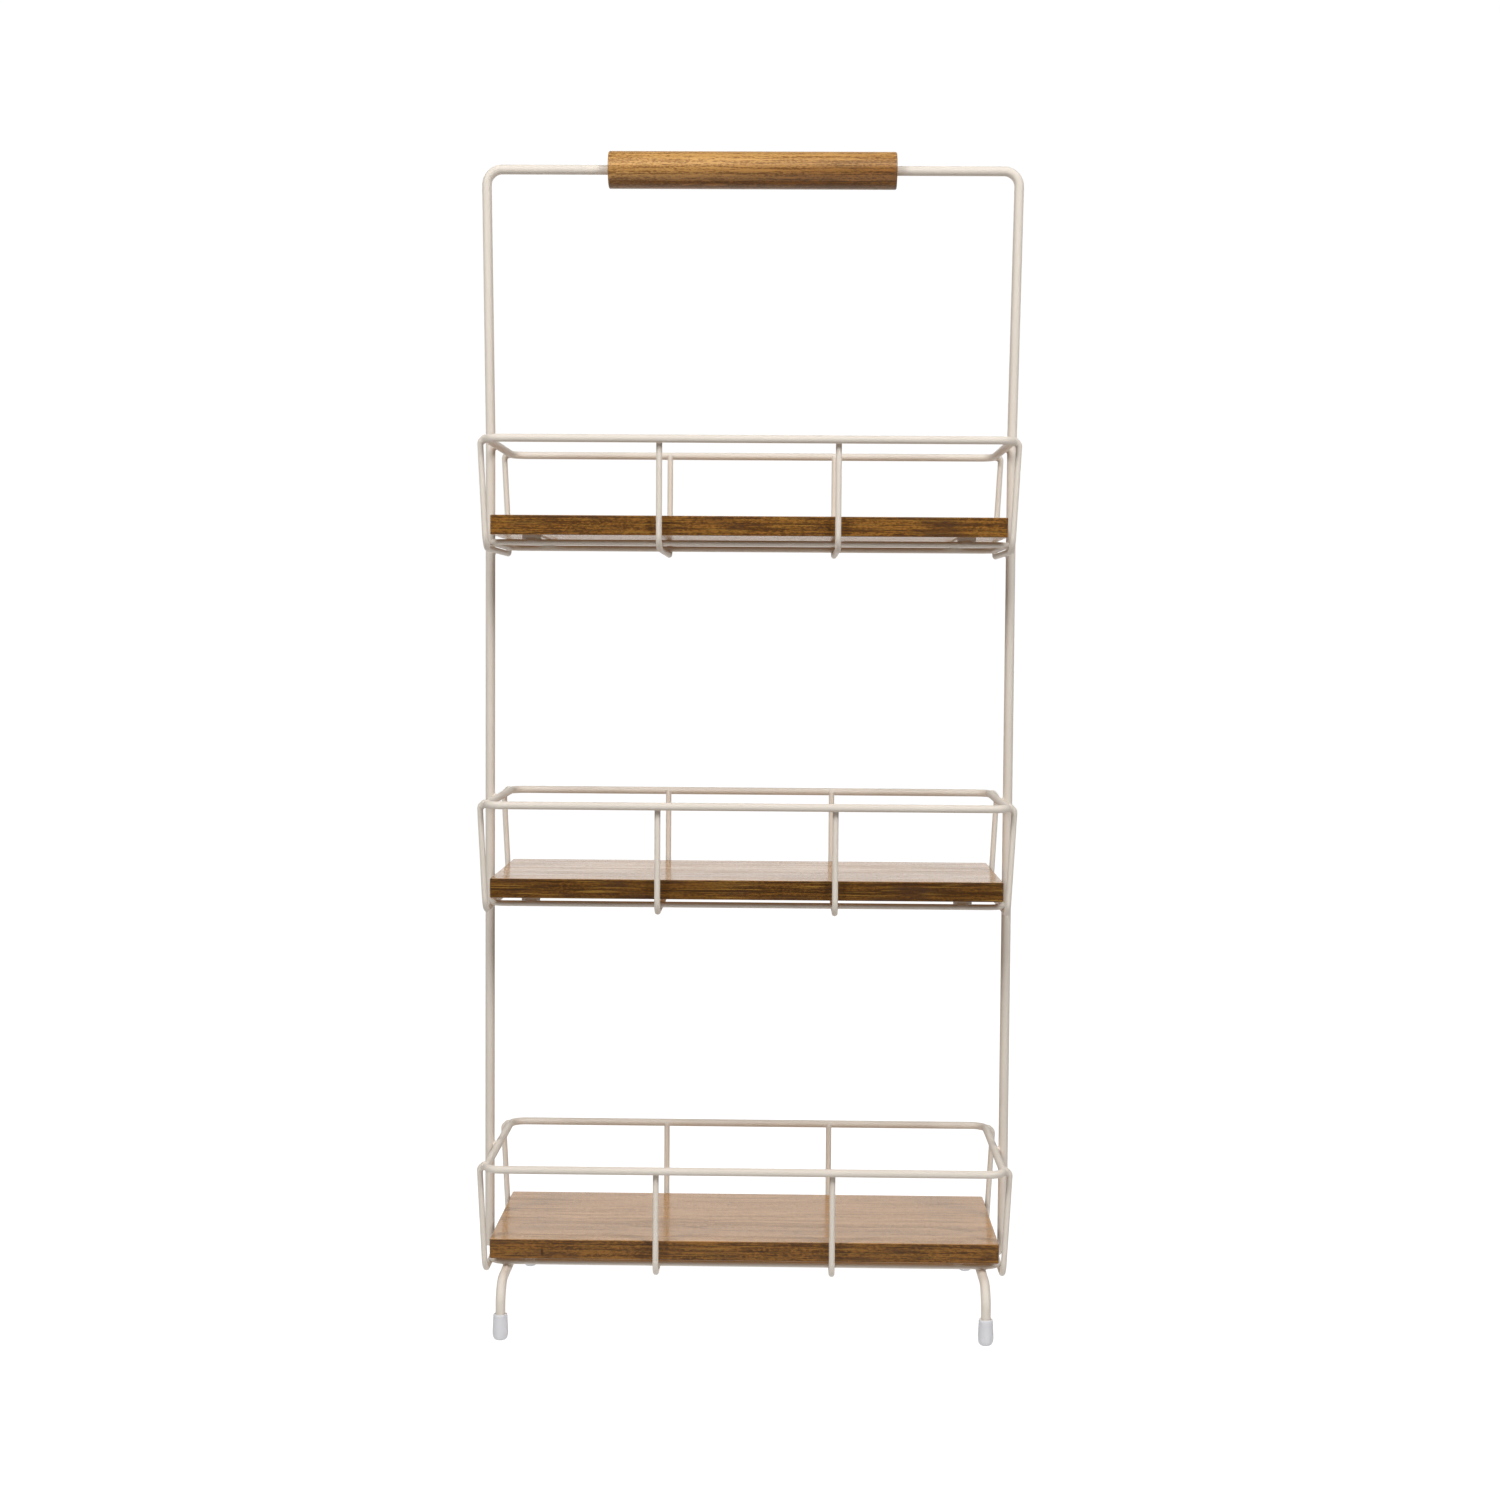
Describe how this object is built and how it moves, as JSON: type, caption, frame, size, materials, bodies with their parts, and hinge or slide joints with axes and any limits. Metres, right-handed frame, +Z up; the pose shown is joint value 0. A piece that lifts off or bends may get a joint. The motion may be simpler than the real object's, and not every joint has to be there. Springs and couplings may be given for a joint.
{
  "type": "three-tier shelf stand",
  "caption": "Free-standing wire shelf stand: stacked wire baskets floored with wooden boards, carried by a tall bent-wire frame with a wooden dowel handle and soft-capped wire feet.",
  "frame": {"origin": "on the floor, under the middle of the stand", "axes": "+X to the right along the boards, +Y to the back, +Z up"},
  "size_m": [0.2828, 0.1426, 0.6082],
  "materials": {
    "powder_coat": "satin cream powder coat on steel",
    "board_wood": "walnut stain under satin lacquer",
    "handle_wood": "honey brown stain under satin lacquer",
    "cap_plastic": "soft milky translucent plastic",
    "screw_zinc": "zinc plate"
  },
  "bodies": {
    "stand": {"main_frame": "powder_coat", "low_rim": "powder_coat", "low_base_ring": "powder_coat", "low_hoop_left": "powder_coat", "low_hoop_right": "powder_coat", "low_end_hoop_left": "powder_coat", "low_end_hoop_right": "powder_coat", "low_strip_left": "powder_coat", "low_strip_right": "powder_coat", "low_board": "board_wood", "low_screw_front_left": "screw_zinc", "low_screw_rear_left": "screw_zinc", "low_screw_front_right": "screw_zinc", "low_screw_rear_right": "screw_zinc", "mid_rim": "powder_coat", "mid_base_ring": "powder_coat", "mid_hoop_left": "powder_coat", "mid_hoop_right": "powder_coat", "mid_end_hoop_left": "powder_coat", "mid_end_hoop_right": "powder_coat", "mid_strip_left": "powder_coat", "mid_strip_right": "powder_coat", "mid_board": "board_wood", "mid_screw_front_left": "screw_zinc", "mid_screw_rear_left": "screw_zinc", "mid_screw_front_right": "screw_zinc", "mid_screw_rear_right": "screw_zinc", "top_rim": "powder_coat", "top_base_ring": "powder_coat", "top_hoop_left": "powder_coat", "top_hoop_right": "powder_coat", "top_end_hoop_left": "powder_coat", "top_end_hoop_right": "powder_coat", "top_strip_left": "powder_coat", "top_strip_right": "powder_coat", "top_board": "board_wood", "top_screw_front_left": "screw_zinc", "top_screw_rear_left": "screw_zinc", "top_screw_front_right": "screw_zinc", "top_screw_rear_right": "screw_zinc", "leg_arch_left": "powder_coat", "leg_arch_right": "powder_coat", "foot_cap_front_left": "cap_plastic", "foot_cap_rear_left": "cap_plastic", "foot_cap_front_right": "cap_plastic", "foot_cap_rear_right": "cap_plastic"},
    "handle": {"handle": "handle_wood"}
  },
  "joints": [
    {"name": "handle_turn", "type": "hinge", "parent": "stand", "child": "handle", "pos_m": [0, 0, 0.5986], "axis": [1, 0, 0], "continuous": true}
  ]
}
